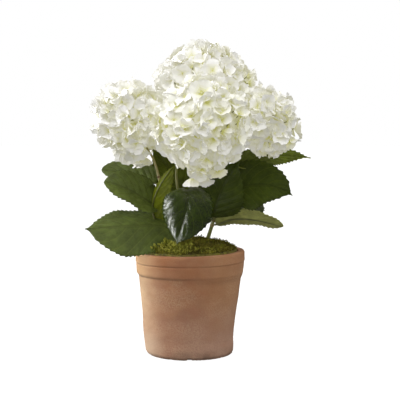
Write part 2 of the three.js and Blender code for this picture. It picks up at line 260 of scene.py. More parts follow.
def out_of_true(at, way):
    """How far the wall stands out at that point, where way is the direction from the axis."""
    out = SLOW_WOBBLE * noise.noise(Vector((way.x * 1.3, way.y * 1.3, at.z * 9)))
    for side, rise, height, reach in BELLIES:
        out += rise * max(0.0, side * way.x) * hump(at.z, height, reach)
    out += TURNING_RINGS * noise.noise(Vector((way.x * 0.7, way.y * 0.7, at.z * 330)))
    return out + DENT_DEPTH * noise.noise(at * 95) + PIT_DEPTH * noise.noise(at * 420)


def clay_lost(at, way, radius):
    """How deep the clay is chipped along the collar's foot and the rim, and worn away at the pot's foot."""
    lost = 0.0
    if radius > neck_radius - 0.012:
        near_edge = max(0.0, 1 - abs(at.z - collar_foot - 0.004) / 0.005) * 0.7
        near_edge += max(0.0, 1 - abs(at.z - POT_HEIGHT) / 0.004)
        lost = near_edge * max(0.0, noise.noise(at * 60 + Vector((3, 1, 7))) - 0.15) * CHIP_DEPTH
    if at.z < WORN_HEIGHT and radius > 0.070:
        worn = max(0.0, noise.noise(Vector((way.x * 9, way.y * 9, 4.2))) + 0.1) + 0.3
        lost += (1 - at.z / WORN_HEIGHT) * worn * WORN_DEPTH
    return lost


def lime_laid(at, way, radius):
    """How far lime fills the groove and the step under the collar, most of it on the right."""
    if radius <= neck_radius - 0.002:
        return 0.0
    right = min(1.0, max(0.0, (way.x + 0.35) / 0.8))
    laid = GROOVE_FILL * hump(at.z, groove, 0.0016) * max(0.5, right)
    return laid + COLLAR_FILL * hump(at.z, collar_foot - 0.001, 0.0042) * right


corners = [
    (0.0, 0.0), (BASE_RADIUS - 0.004, 0.0), (BASE_RADIUS - 0.0005, 0.004),
    (wall_radius(FOOT_HEIGHT), FOOT_HEIGHT),
    (wall_radius(collar_foot), collar_foot), (wall_radius(collar_foot) + COLLAR_STEP, collar_foot + 0.004),
    (RIM_RADIUS - 0.0010, groove - 0.0030), (RIM_RADIUS - 0.0020, groove - 0.0004),
    (RIM_RADIUS - 0.0002, groove + 0.0016), (RIM_RADIUS, POT_HEIGHT - 0.003),
    (RIM_RADIUS - 0.002, POT_HEIGHT),
    (inner_radius(POT_HEIGHT) + 0.0015, POT_HEIGHT), (inner_radius(POT_HEIGHT), POT_HEIGHT - 0.003),
    (inner_radius(collar_foot), collar_foot),
    (inner_radius(FLOOR_THICKNESS), FLOOR_THICKNESS), (0.0, FLOOR_THICKNESS),
]
pot_shape = spun([(p.x, 0.0, p.y) for p in rounded(corners, CORNER_CUT, PROFILE_STEP)], POT_TURNS)
bmesh.ops.recalc_face_normals(pot_shape, faces=pot_shape.faces)
for vert in pot_shape.verts:
    at = vert.co
    radius = hypot(at.x, at.y)
    if radius > 0.06 and at.z > 0.0005:
        way = Vector((at.x, at.y, 0.0)) / radius
        out = out_of_true(at, way) - clay_lost(at, way, radius) + lime_laid(at, way, radius)
        at.xy = at.xy * ((radius + out) / radius)
    if radius > UNDER_RADIUS and at.z < UNDER_HEIGHT:
        nick = NICK_HEIGHT * hump(at.x, 0.0, NICK_REACH) if at.y < 0 else 0.0
        nick += CRUMB_HEIGHT * max(0.0, noise.noise(at * 190))
        at.z += (1 - at.z / UNDER_HEIGHT) * nick * min(1.0, (radius - UNDER_RADIUS) / 0.006)
    at.z = leant(at)


def times(tree, first, second):
    return combined(tree, "MULTIPLY", first, second)


def between(tree, value, low, high, least=0.0, most=1.0):
    """A soft step: least below low, most above high."""
    limits = {"Value": value, "From Min": low, "From Max": high, "To Min": least, "To Max": most}
    return add(tree, "MapRange", limits, interpolation_type="SMOOTHSTEP").outputs["Result"]


def painted(tree, shader, colour, *coats):
    """Gives the finish a colour under coats of other colours, each with the mask of where it lies."""
    for mask, coat in coats:
        colour = add(tree, "Mix", {0: mask, 6: colour, 7: coat}, data_type="RGBA").outputs[2]
    tree.links.new(colour, shader.inputs["Base Color"])
    return colour


def bumped(tree, shader, height, strength, distance):
    """Raises the surface by a height that changes over it."""
    bump = add(tree, "Bump", {"Height": height, "Strength": strength, "Distance": distance})
    tree.links.new(bump.outputs["Normal"], shader.inputs["Normal"])


def new_group(name, inputs, outputs):
    """An empty group of shader nodes and its two ends. Each input has a name and a kind."""
    tree = bpy.data.node_groups.new(name, "ShaderNodeTree")
    for label, kind in inputs:
        tree.interface.new_socket(name=label, in_out="INPUT", socket_type="NodeSocket" + kind)
    for label in outputs:
        tree.interface.new_socket(name=label, in_out="OUTPUT", socket_type="NodeSocketFloat")
    return tree, tree.nodes.new("NodeGroupInput"), tree.nodes.new("NodeGroupOutput")


# Uneven colour: wide soft patches, smaller blotches inside them, and a fine grain.
mottle, group_in, group_out = new_group(
    "mottle", [("Vector", "Vector"), ("Scale", "Float")], ["Patches", "Blotches", "Grain"]
)
for label, factor, detail in (("Patches", 1.0, 3.0), ("Blotches", 4.3, 5.0), ("Grain", 40.0, 3.0)):
    scaled = times(mottle, group_in.outputs["Scale"], factor)
    texture = {"Vector": group_in.outputs["Vector"], "Scale": scaled, "Detail": detail, "Roughness": 0.55}
    cloud = add(mottle, "TexNoise", texture)
    mottle.links.new(between(mottle, cloud.outputs["Fac"], 0.32, 0.68), group_out.inputs[label])


def spotted(tree, scale, place=None):
    """The mottle's masks at that scale, by the place on the piece or by a place that is drawn out."""
    if place is None:
        place = add(tree, "TexCoord").outputs["Object"]
    return add(tree, "Group", {"Vector": place, "Scale": scale}, node_tree=mottle).outputs


clay, tree, shader = new_finish("bare_terracotta", 0.93, 0.25)
place = add(tree, "TexCoord").outputs["Object"]
axes = add(tree, "SeparateXYZ", {0: place}).outputs
along, up = axes["X"], axes["Z"]
drawn = add(tree, "Mapping", {"Vector": place, "Scale": (1.0, 1.0, 1.7), "Location": (2.0, 5.0, 0.0)})
spots = spotted(tree, 11.0, place)
runs = spotted(tree, 9.0, drawn.outputs[0])
streaks = runs["Patches"]
limed = times(tree, between(tree, along, -0.038, -0.088), between(tree, streaks, 0.0, 1.0, 0.35, 0.95))
# Painted light: the left of the collar, where the window light falls, is gold.
lit_collar_left = times(
    tree, between(tree, along, -0.040, -0.085), between(tree, up, collar_foot - 0.012, collar_foot + 0.010)
)
low_right = times(tree, between(tree, along, -0.06, 0.05, 0.35, 1.0), between(tree, up, 0.120, 0.010))
low_left = times(tree, between(tree, along, -0.035, -0.070, 0.0, 0.4), between(tree, up, 0.060, 0.015))
colour = painted(
    tree, shader, CLAY,
    (times(tree, spots["Patches"], 0.8), CLAY_RED),
    (times(tree, spots["Blotches"], 0.45), CLAY_BROWN),
    (times(tree, runs["Blotches"], 0.35), CLAY_TAN),
    (limed, LIME),
    (times(tree, lit_collar_left, 0.6), CLAY_LIT_GOLD),
    # Painted light: the right side is a paler tan that stands in for fill light.
    (between(tree, along, -0.005, 0.060, 0.0, 0.55), CLAY_TAN),
    (times(tree, low_right, between(tree, streaks, 0.0, 1.0, 0.5, 1.0)), CLAY_GREY),
    (low_left, LIME_FOOT),
    (times(tree, spots["Grain"], between(tree, streaks, 0.3, 1.0, 0.05, 0.30)), LIME),
)
# Painted shade along the crease under the collar and in the groove, fading out to the right; darker at the
# foot.
fading = between(tree, along, 0.005, -0.035, 0.05, 1.0)
for height, reach, darkness in dark_lines:
    level = combined(tree, "SUBTRACT", up, times(tree, along, RIM_TILT * (height / POT_HEIGHT) ** 3))
    away = combined(tree, "ABSOLUTE", combined(tree, "SUBTRACT", level, height))
    broken = between(tree, spots["Patches"], 0.0, 0.8, 0.2, darkness)
    if height:
        broken = times(tree, broken, fading)
    colour = painted(tree, shader, colour, (times(tree, between(tree, away, reach, 0.0), broken), SOOT_AND_SHADE))
scuffed = times(tree, between(tree, along, -0.055, -0.015), runs["Blotches"])
baked = times(tree, between(tree, up, 0.080, 0.150), spots["Patches"])
grit = add(tree, "TexNoise", {"Vector": place, "Scale": 420.0}).outputs["Fac"]
painted(
    tree, shader, colour,
    (times(tree, between(tree, up, 0.024, 0.004, 0.0, 0.45), scuffed), SOOT_AND_SHADE),
    (times(tree, baked, between(tree, along, -0.088, -0.045, 0.0, 0.65)), CLAY_BAKED),
    (between(tree, grit, 0.67, 0.73, 0.0, 0.45), CLAY_RED),
)
bumped(tree, shader, combined(tree, "MULTIPLY_ADD", runs["Grain"], 0.8, spots["Grain"]), 0.30, 0.0003)
pot = finished("terracotta_pot", pot_shape, clay)
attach(pot, "root")
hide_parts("pot")

# ------------------------ moss
# The filling is capped by a low lumpy dome of dried moss, pressed down round the rim. Its fine strands
# lie in all directions, and brighter sprigs stand up at the front left.
MOSS_DROP = 0.001
MOSS_RISE = 0.019
MOSS_EDGE_LIFT = 0.0024
MOSS_BUMP = 0.0022
MOSS_FADE = 0.015
MOSS_EDGE = inner_radius(POT_HEIGHT) - 0.0006
MOSS_SKIRT = 0.014
MOSS_RINGS = 62
MOSS_TURNS = 180
STRAND_COUNT = 15000
STRAND_LENGTH = 0.0046
STRAND_WIDTH = 0.00085
STRAND_BEND = 0.0011
SPRIG_COUNT = 1000
SPRIG_LEAFLETS = 9
SPRIG_HEIGHT = 0.0068
LEAFLET_LENGTH = 0.0034
LEAFLET_WIDTH = 0.0022
MOSS_EARTH = (0.075, 0.060, 0.012, 1)
MOSS_TONES = {
    "shade": (0.100, 0.088, 0.013, 1),
    "olive": (0.235, 0.208, 0.028, 1),
    "green": (0.250, 0.262, 0.032, 1),
    "bright": (0.600, 0.580, 0.110, 1),
}
# Middle of each bright tuft, how wide it spreads, and how high its sprigs stand.
TUFTS = (
    (-0.038, -0.050, 0.010, 2.3), (-0.056, -0.048, 0.014, 1.6), (-0.026, -0.063, 0.016, 1.3),
    (0.000, -0.060, 0.020, 0.9), (-0.012, -0.070, 0.014, 0.9), (0.030, -0.066, 0.022, 0.6),
)


def scatter(i, salt):
    """A repeatable number from 0 to 1 for item i of the series named by salt."""
    return sin(i * 12.9898 + salt * 78.233) * 43758.5453 % 1.0


def moss_height(radius):
    share = min(1.0, radius / inner_radius(POT_HEIGHT))
    return POT_HEIGHT - MOSS_DROP + MOSS_RISE * (1 - share**2.2)


def moss_top(x, y):
    """The point of the moss above x and y."""
    radius = hypot(x, y)
    inside = min(1.0, max(0.0, (MOSS_EDGE - radius) / MOSS_FADE))
    lump = sin(210 * x + 1.3) * cos(240 * y) + sin(110 * x - 170 * y)
    fine = noise.noise(Vector((x, y, 0.3)) * 130) * 0.0016 + noise.noise(Vector((x, y, 2.3)) * 420) * 0.0010
    lift = MOSS_EDGE_LIFT * (radius / MOSS_EDGE) ** 4
    point = Vector((x, y, moss_height(radius) + lift + (MOSS_BUMP * lump + fine) * inside))
    point.z = leant(point)
    return point


def shaped_grid(shape, columns, rows, place, slot_of=None):
    """Lays a grid of cells and moves its corners to place(u, v), with u and v from 0 to 1."""
    made = bmesh.ops.create_grid(shape, x_segments=columns, y_segments=rows, size=0.5, calc_uvs=True)
    made = made["verts"]
    if slot_of:
        for face in {face for vert in made for face in vert.link_faces}:
            middle = face.calc_center_median()
            face.material_index = slot_of(middle.x + 0.5, middle.y + 0.5)
    for vert in made:
        vert.co = place(vert.co.x + 0.5, vert.co.y + 0.5)
    return made


def new_shape():
    shape = bmesh.new()
    shape.loops.layers.uv.new("UVMap")
    return shape


def pattern(shape):
    """A small shape as arrays, ready to be repeated: its points, faces, finishes and map."""
    shape.verts.ensure_lookup_table()
    marks = shape.loops.layers.uv.active
    arrays = (
        np.array([v.co for v in shape.verts], float),
        np.array([[v.index for v in f.verts] for f in shape.faces], int),
        np.array([f.material_index for f in shape.faces], int),
        np.array([[tuple(loop[marks].uv) for loop in f.loops] for f in shape.faces], float),
    )
    shape.free()
    return arrays


def repeated(name, copies, finishes):
    """One joined object out of many copies: each is a pattern, a matrix and a step along the finishes."""
    points, faces, slots, marks, count = [], [], [], [], 0
    for (corners_in, faces_in, slots_in, marks_in), matrix, step in copies:
        turn = np.array(matrix, float)
        points.append(corners_in @ turn[:3, :3].T + turn[:3, 3])
        faces.append(faces_in + count)
        slots.append(slots_in + step)
        marks.append(marks_in)
        count += len(corners_in)
    mesh = bpy.data.meshes.new(name)
    mesh.from_pydata(np.concatenate(points), [], np.concatenate(faces))
    flat_marks = np.concatenate(marks).astype(np.float32).ravel()
    mesh.uv_layers.new(name="UVMap").uv.foreach_set("vector", flat_marks)
    mesh.polygons.foreach_set("material_index", np.minimum(np.concatenate(slots), len(finishes) - 1))
    return in_scene(mesh, finishes)


def standing(point, up, spin, scale=1.0):
    """The matrix that stands a pattern on a point with its +Z along up, turned about it by spin."""
    turn = Vector(up).to_track_quat("Z", "Y").to_matrix().to_4x4()
    return Matrix.Translation(point) @ turn @ Matrix.Rotation(spin, 4, "Z") @ Matrix.Scale(scale, 4)


def toned(tone, share):
    """The colour darker or lighter by that share."""
    return (*(share * part for part in tone[:3]), 1)


radii = [MOSS_EDGE * sqrt(k / MOSS_RINGS) for k in range(MOSS_RINGS + 1)]
skirt_foot = (MOSS_EDGE - 0.001, 0.0, -MOSS_SKIRT)
moss_shape = spun([*((radius, 0.0, 0.0) for radius in radii), skirt_foot], MOSS_TURNS)
for vert in moss_shape.verts:
    drop = vert.co.z
    vert.co = moss_top(vert.co.x, vert.co.y)
    vert.co.z += drop
bmesh.ops.holes_fill(moss_shape, edges=[edge for edge in moss_shape.edges if edge.is_boundary], sides=0)
bmesh.ops.recalc_face_normals(moss_shape, faces=moss_shape.faces)
moss_finish, tree, shader = new_finish("moss_bed", 1.0)
spots = spotted(tree, 26.0)
lighter = spots["Blotches"], MOSS_TONES["olive"]
painted(tree, shader, MOSS_TONES["shade"], (spots["Patches"], MOSS_EARTH), lighter)
bumped(tree, shader, spots["Grain"], 0.8, 0.001)
moss_bed = finished("moss_bed", moss_shape, moss_finish)
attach(moss_bed, "root")
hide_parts("moss_fill")

moss_tones = []
for label, tone in MOSS_TONES.items():
    made, tree, shader = new_finish("moss_" + label, 0.9, 0.1)
    painted(tree, shader, tone, (spotted(tree, 60.0)["Blotches"], toned(tone, 0.72)))
    moss_tones.append(made)


def strand_place(u, v):
    return Vector(((u - 0.5) * STRAND_WIDTH * (1 - 0.75 * v), STRAND_BEND * v * v, STRAND_LENGTH * v))


strand_shape = new_shape()
shaped_grid(strand_shape, 1, 3, strand_place)
strand = pattern(strand_shape)
sprig_shape = new_shape()
for k in range(SPRIG_LEAFLETS):
    climb = k / SPRIG_LEAFLETS
    turn = Matrix.Translation((0, 0, SPRIG_HEIGHT * climb)) @ Matrix.Rotation(k * 2.4, 4, "Z")
    turn = turn @ Matrix.Rotation(radians(70 - 40 * climb), 4, "X")
    long = LEAFLET_LENGTH * (1 - 0.4 * climb)

    def leaflet_place(u, v):
        across = (u - 0.5) * LEAFLET_WIDTH * (0.25 + 2.4 * v * (1 - v))
        return turn @ Vector((across, long * 0.3 * v * v, long * v))

    shaped_grid(sprig_shape, 1, 2, leaflet_place)
sprig = pattern(sprig_shape)


def spot_within(reach, i, salt, turn_salt):
    """A repeatable place not further than reach from the middle."""
    radius, turn = reach * sqrt(scatter(i, salt)), 2 * pi * scatter(i, turn_salt)
    return radius * cos(turn), radius * sin(turn)


copies = []
for i in range(STRAND_COUNT):
    foot = moss_top(*spot_within(MOSS_EDGE - 0.0015, i, 1.7, 2.9))
    patch = noise.noise(foot * 42) + 0.5 * noise.noise(foot * 130)
    lie = 2 * pi * scatter(i, 3.1)
    up = Vector((cos(lie), sin(lie), 0.35 + 0.9 * scatter(i, 4.3)))
    tone = min(3, max(0, int(1.1 + 1.5 * patch + 1.5 * (scatter(i, 5.5) - 0.5))))
    copies.append((strand, standing(foot, up, 6.28 * scatter(i, 6.1), 0.7 + 0.7 * scatter(i, 7.7)), tone))
moss_strands = repeated("moss_strands", copies, moss_tones)
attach(moss_strands, "root")

copies = []
for i in range(SPRIG_COUNT):
    if i % 3:
        x, y, spread, tall = TUFTS[(i // 3 + i) % len(TUFTS)]
        right, back = spot_within(1.0, i, 1.3, 2.1)
        x, y = x + spread * right, y + 0.7 * spread * back
        tone = 3 if scatter(i, 8.8) > 0.45 else 2
        scale = tall * (1.2 - 0.7 * hypot(right, back)) * (0.5 + 0.8 * scatter(i, 9.1))
    else:
        x, y = spot_within(MOSS_EDGE - 0.002, i, 1.9, 3.7)
        tone, scale = 1 + int(1.99 * scatter(i, 8.2)), 0.5 + 0.5 * scatter(i, 9.9)
    if hypot(x, y) > MOSS_EDGE - 0.001:
        continue
    lean = Vector((1.2 * (scatter(i, 5.1) - 0.5), 1.2 * (scatter(i, 5.9) - 0.5), 1.0))
    copies.append((sprig, standing(moss_top(x, y), lean, 6.28 * scatter(i, 6.6), scale), tone))
moss_sprigs = repeated("moss_sprigs", copies, moss_tones)
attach(moss_sprigs, "root")

# ------------------------ stems
# Five wired stems in a thin green plastic skin are pushed into the filling, one for each flower head.
# Each swells at the joints where leaves leave it, and the joints carry brown scales.
MM = 0.001
STEM_FOOT_RADIUS = 4.2 * MM
STEM_TIP_RADIUS = 1.9 * MM
STEM_FLARE = 14 * MM
STEM_SOCKET = 8 * MM
STEM_INSIDE = 0.45
STEM_RIDGES = 5
RIDGE_SHARE = 0.05
JOINT_SWELL = 0.28
JOINT_REACH = 2.2 * MM
SCALES_REACH = 1.6 * MM
CLEAR = 0.3 * MM
# Feet and joints are in millimetres. A leaf leaves the stem at each joint but the top one on the left.
STEMS = {
    "left": dict(foot=(-33, 0), lean=(-0.2, 0.0), joints=(218, 228, 250, 292, 306)),
    "top": dict(foot=(4, 14), lean=(0.0, 0.05), joints=(270, 296)),
    "front": dict(foot=(-8, -14), lean=(-0.05, -0.1), joints=(212, 262)),
    "right": dict(foot=(27, 8), lean=(0.32, 0.0), joints=(222, 230, 250, 280, 320)),
    "back": dict(foot=(0, 38), lean=(0.0, 0.25), joints=(208, 248, 254, 282)),
}
# In millimetres and shares: the axis is the way that the stem enters, and the bulge a way and a share.
# The florets draw in below the middle, and the lowest ones hang to the right by the sway.
HEADS = {
    "left": dict(
        centre=(-104, -5, 400), radii=(58, 62, 68), axis=(-0.55, -0.05, 0.83), bulge=(0, 0, -1, 0.03),
        drawn_in=0.04, sway=23,
    ),
    "top": dict(
        centre=(23, 44, 455), radii=(84, 82, 82), axis=(0.1, 0.12, 0.99), bulge=(1, 0, -0.12, 0.27),
        drawn_in=0.03, sway=0,
    ),
    "front": dict(
        centre=(21, -85, 387), radii=(75, 73, 84), axis=(0.5, -0.5, 0.7), bulge=(0, -0.1, -1, 0.08),
        drawn_in=0.22, sway=-1,
    ),
    "right": dict(
        centre=(123, 0, 402), radii=(51, 60, 54), axis=(0.6, -0.05, 0.8), bulge=(2, 0, -1, 0.34),
        drawn_in=0.03, sway=6,
    ),
    "back": dict(
        centre=(8, 128, 372), radii=(71, 67, 69), axis=(0.05, 0.6, 0.8), bulge=(0, 1, -0.3, 0.05),
        drawn_in=0.04, sway=0,
    ),
}
STEM_GREEN = (0.185, 0.200, 0.042, 1)
STEM_TAN = (0.430, 0.370, 0.150, 1)
JOINT_BROWN = (0.110, 0.042, 0.012, 1)


def head_middle(name):
    return Vector(HEADS[name]["centre"]) * MM


def head_reach(name, way):
    """The distance from a head's centre to its outline: an ellipsoid with one soft bulge."""
    x, y, z, rise = HEADS[name]["bulge"]
    near = max(0.0, way.dot(Vector((x, y, z)).normalized()))
    rx, ry, rz = (part * MM for part in HEADS[name]["radii"])
    return (1 + rise * near**8) / Vector((way.x / rx, way.y / ry, way.z / rz)).length


def head_foot(name):
    way = -Vector(HEADS[name]["axis"]).normalized()
    return head_middle(name) + way * head_reach(name, way)


def bezier(controls, share):
    """The point and the direction on a cubic curve."""
    a, b, c, d = controls
    rest = 1 - share
    point = a * rest**3 + b * (3 * rest * rest * share) + c * (3 * rest * share**2) + d * share**3
    along = (b - a) * rest * rest + (c - b) * (2 * rest * share) + (d - c) * share**2
    return point, along.normalized()


def stem_curve(name):
    x, y = (part * MM for part in STEMS[name]["foot"])
    foot = Vector((x, y, moss_height(hypot(x, y)) - STEM_SOCKET))
    tip = head_foot(name)
    axis = Vector(HEADS[name]["axis"]).normalized()
    rise = tip.z - foot.z
    lean_x, lean_y = STEMS[name]["lean"]
    lower, upper = foot + Vector((lean_x, lean_y, 1.0)) * (rise * 0.45), tip - axis * (rise * 0.18)
    return foot, lower, upper, tip - axis * CLEAR


def stem_radius(name, height):
    foot = stem_curve(name)[0].z
    share = (height - foot) / (head_foot(name).z - foot)
    slim = STEM_FOOT_RADIUS - 0.9 * MM + (STEM_TIP_RADIUS - STEM_FOOT_RADIUS + 0.9 * MM) * share
    return slim + (STEM_FOOT_RADIUS - slim) * exp(-(height - foot) / STEM_FLARE)


def place_on_stem(name, height):
    """The point and the direction on a stem at a height, found by halving."""
    controls = stem_curve(name)
    low, high = 0.0, 1.0
    for _ in range(30):
        middle = (low + high) / 2
        if bezier(controls, middle)[0].z < height:
            low = middle
        else:
            high = middle
    return bezier(controls, low)


def tube(shape, place, width, steps, sides, slot_of=None):
    """A round limb: place(v) gives its middle and direction, and width(v, turn) its radius."""

    def corner(u, v):
        middle, along = place(v)
        side = Vector((0, 1, 0)).cross(along)
        side = side.normalized() if side.length > 0.05 else Vector((0, 0, 1)).cross(along).normalized()
        turn = 2 * pi * u
        return middle + (side * cos(turn) + along.cross(side) * sin(turn)) * width(v, turn)

    made = shaped_grid(shape, sides, steps, corner, slot_of)
    bmesh.ops.remove_doubles(shape, verts=made, dist=1e-6)


bark, tree, shader = new_finish("stem_skin", 0.5)
place = add(tree, "TexCoord").outputs["Object"]
axes = add(tree, "SeparateXYZ", {0: place}).outputs
spots = spotted(tree, 90.0, add(tree, "Mapping", {"Vector": place, "Scale": (1.0, 1.0, 0.12)}).outputs[0])
# Painted highlight: the upper left of the stems is pale tan where the window light catches them; the other
# tan patches are the skin's own.
highlight_upper_left = times(tree, between(tree, axes["Z"], 0.25, 0.31), between(tree, axes["X"], -0.02, -0.05))
paled = combined(tree, "MAXIMUM", highlight_upper_left, between(tree, spots["Patches"], 0.5, 1.0, 0.0, 0.35))
painted(tree, shader, STEM_GREEN, (paled, STEM_TAN))
bumped(tree, shader, spots["Blotches"], 0.5, 0.0004)
joint_scales, tree, shader = new_finish("joint_scales", 0.8)
painted(tree, shader, JOINT_BROWN, (spotted(tree, 160.0)["Patches"], STEM_TAN))

for name in STEMS:
    controls, joints = stem_curve(name), STEMS[name]["joints"]
    tip, axis = bezier(controls, 1.0)
    inside = (head_middle(name) - tip).length * STEM_INSIDE
    points = [bezier(controls, k / 20)[0] for k in range(21)]
    length = sum((after - before).length for before, after in zip(points, points[1:]))
    own = length / (length + inside)

    def stem_place(v):
        if v <= own:
            return bezier(controls, v / own)
        return tip + axis * (inside * (v - own) / (1 - own)), axis

    def stem_width(v, turn):
        height = stem_place(v)[0].z
        swell = JOINT_SWELL * sum(hump(height, joint * MM, JOINT_REACH) for joint in joints)
        ridge = RIDGE_SHARE * cos(STEM_RIDGES * turn + 60 * height)
        closed = 0.02 if v in (0.0, 1.0) else 1.0
        return stem_radius(name, min(height, tip.z)) * (1 + swell + ridge) * closed

    def stem_slot(u, v):
        height = stem_place(v)[0].z
        return int(any(abs(height - joint * MM) < SCALES_REACH for joint in joints))

    stem_shape = new_shape()
    tube(stem_shape, stem_place, stem_width, 110, 14, stem_slot)
    stem = finished("wired_stem_" + name, stem_shape, bark, joint_scales)
    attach(stem, "root")
    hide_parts("stem_" + name)

# ------------------------ leaves
# Each leaf is a pressed blade of coated cloth, toothed along its edge and quilted between its veins, on
# a wire stalk that is glued to the stem and runs on under the blade as its midrib.
STALK_RADIUS = 1.6 * MM
LEAF_COLUMNS = 28
LEAF_THICKNESS = 0.8 * MM
TOOTH_PITCH = 7.5 * MM
TOOTH_DEPTH = 3.4 * MM
VEIN_PAIRS = 7.0
VEIN_SLANT = 0.36
VEIN_BEND = 1.15
QUILT_HEIGHT = 1.15 * MM
MIDRIB_GROOVE = 0.8 * MM
EDGE_RIPPLE = 1.5 * MM
STALK_GREEN = (0.115, 0.130, 0.030, 1)
STALK_PALE = (0.21, 0.21, 0.06, 1)
# Lengths are in millimetres and angles in degrees. What isn't said of a leaf is as usual.
USUAL_LEAF = dict(
    facing=(0, 0, 1), fold=9, widest=0.38, stalk=9, spring=(0.7, 0.3), droop=0.05, blunt=False,
    narrow=False, upper="green", under="under_dark",
)
LEAVES = {
    "left_low": dict(
        stem="front", height=212, tip=(-176, -58, 222), width=107, bow=(0, -8, 4), facing=(0, -1, 1),
        fold=-17, widest=0.60, stalk=2,
    ),
    "left_middle": dict(
        stem="left", height=250, tip=(-147, -22, 299), width=76, bow=(0, -14, 14), facing=(0, -1, 1.1),
        fold=20, blunt=True,
    ),
    "left_upper": dict(
        stem="left", height=292, tip=(-156, 30, 317), width=66, bow=(0, 14, 10), facing=(0, -0.8, 1),
        blunt=True,
    ),
    "left_young": dict(
        stem="left", height=218, tip=(-23, -34, 330), width=64, bow=(-46, 6, -18), facing=(0.60, 0.75, 0),
        fold=40, widest=0.24, stalk=3, upper="young", under="young",
    ),
    "left_back": dict(stem="left", height=228, tip=(-110, 120, 218), width=80, bow=(0, 0, 8)),
    "front_hanging": dict(
        stem="front", height=262, tip=(-21, -112, 201), width=94, bow=(33, -26, 92), spring=(1.5, 0.45),
        facing=(0, -0.5, 1), fold=26, widest=0.63, droop=0.6, narrow=True, upper="gloss",
    ),
    "right_inner": dict(
        stem="right", height=230, tip=(84, -30, 334), width=89, bow=(-14, -10, 4), facing=(0.1, -1, 0.3),
        upper="shaded",
    ),
    "right_large": dict(
        stem="right", height=280, tip=(176, -18, 275), width=94, bow=(2, 10, 28), facing=(0, -1, 0.5),
        upper="shaded",
    ),
    "right_low": dict(
        stem="right", height=222, tip=(162, -2, 220), width=48, bow=(-6, 0, 14), spring=(1.1, 0.35),
        facing=(0, 0.8, 1), fold=12, widest=0.34, stalk=4, blunt=True, upper="shaded", under="under",
    ),
    "right_upper": dict(
        stem="right", height=320, tip=(215, 56, 337), width=50, bow=(-6, 62, 16), facing=(0, -1, 0.8),
        upper="fresh", under="under",
    ),
    "right_back": dict(
        stem="right", height=250, tip=(130, 108, 226), width=84, bow=(0, 0, 26), upper="shaded",
    ),
    "top_left": dict(
        stem="top", height=270, tip=(-68, 46, 354), width=74, bow=(0, 10, 4), facing=(0, -1, 0.5),
        upper="fresh",
    ),
    "top_right": dict(stem="top", height=296, tip=(84, 84, 338), width=66, bow=(0, 0, 12)),
    "back_low": dict(stem="back", height=208, tip=(-12, 186, 205), width=90, bow=(0, 0, 34)),
    "back_right": dict(stem="back", height=254, tip=(84, 182, 284), width=84, bow=(0, 0, 34), upper="shaded"),
    "back_left": dict(stem="back", height=248, tip=(-104, 164, 262), width=88, bow=(0, 0, 38)),
    "back_upper": dict(
        stem="back", height=282, tip=(-108, 100, 322), width=76, bow=(0, 0, 20), upper="shaded",
    ),
}
# The blade, its veins and net, its roughness, and how much it mirrors.
LEAF_FINISHES = {
    "green": ((0.080, 0.108, 0.018, 1), (0.135, 0.160, 0.030, 1), 0.50, 0.26),
    # The shaded finish is a darker copy of the green cloth: painted shade for leaves at the right and the
    # back.
    "shaded": ((0.038, 0.056, 0.003, 1), (0.082, 0.106, 0.008, 1), 0.50, 0.16),
    "gloss": ((0.018, 0.030, 0.001, 1), (0.038, 0.054, 0.003, 1), 0.22, 0.60),
    "fresh": ((0.088, 0.114, 0.008, 1), (0.170, 0.190, 0.025, 1), 0.50, 0.15),
    "young": ((0.145, 0.175, 0.004, 1), (0.260, 0.285, 0.018, 1), 0.55, 0.20),
    "under": ((0.370, 0.390, 0.110, 1), (0.500, 0.500, 0.180, 1), 0.75, 0.20),
    "under_dark": ((0.090, 0.115, 0.040, 1), (0.150, 0.175, 0.065, 1), 0.75, 0.25),
}

# The veins of a blade on its own map: U runs from edge to edge, and V from the base to the tip.
veins, group_in, group_out = new_group("leaf_veins", [("Vector", "Vector")], ["Veins", "Net", "Across"])
axes = add(veins, "SeparateXYZ", {0: group_in.outputs["Vector"]}).outputs
across = combined(veins, "ABSOLUTE", combined(veins, "MULTIPLY_ADD", axes["X"], 2.0, -1.0))
slanted = times(veins, combined(veins, "POWER", across, VEIN_BEND), VEIN_SLANT)
phase = times(veins, combined(veins, "SUBTRACT", axes["Y"], slanted), VEIN_PAIRS)
side_veins = between(veins, combined(veins, "PINGPONG", phase, 0.5), 0.065, 0.0)
middle_vein = between(veins, across, 0.045, 0.012)
cells = add(
    veins, "TexVoronoi", {"Vector": group_in.outputs["Vector"], "Scale": 34.0}, feature="DISTANCE_TO_EDGE"
).outputs["Distance"]
cross = between(veins, combined(veins, "PINGPONG", times(veins, across, 11.0), 0.5), 0.10, 0.0, 0.0, 0.6)
net = combined(veins, "MAXIMUM", between(veins, cells, 0.10, 0.0), cross)
veins.links.new(combined(veins, "MAXIMUM", side_veins, middle_vein), group_out.inputs["Veins"])
veins.links.new(net, group_out.inputs["Net"])
veins.links.new(across, group_out.inputs["Across"])

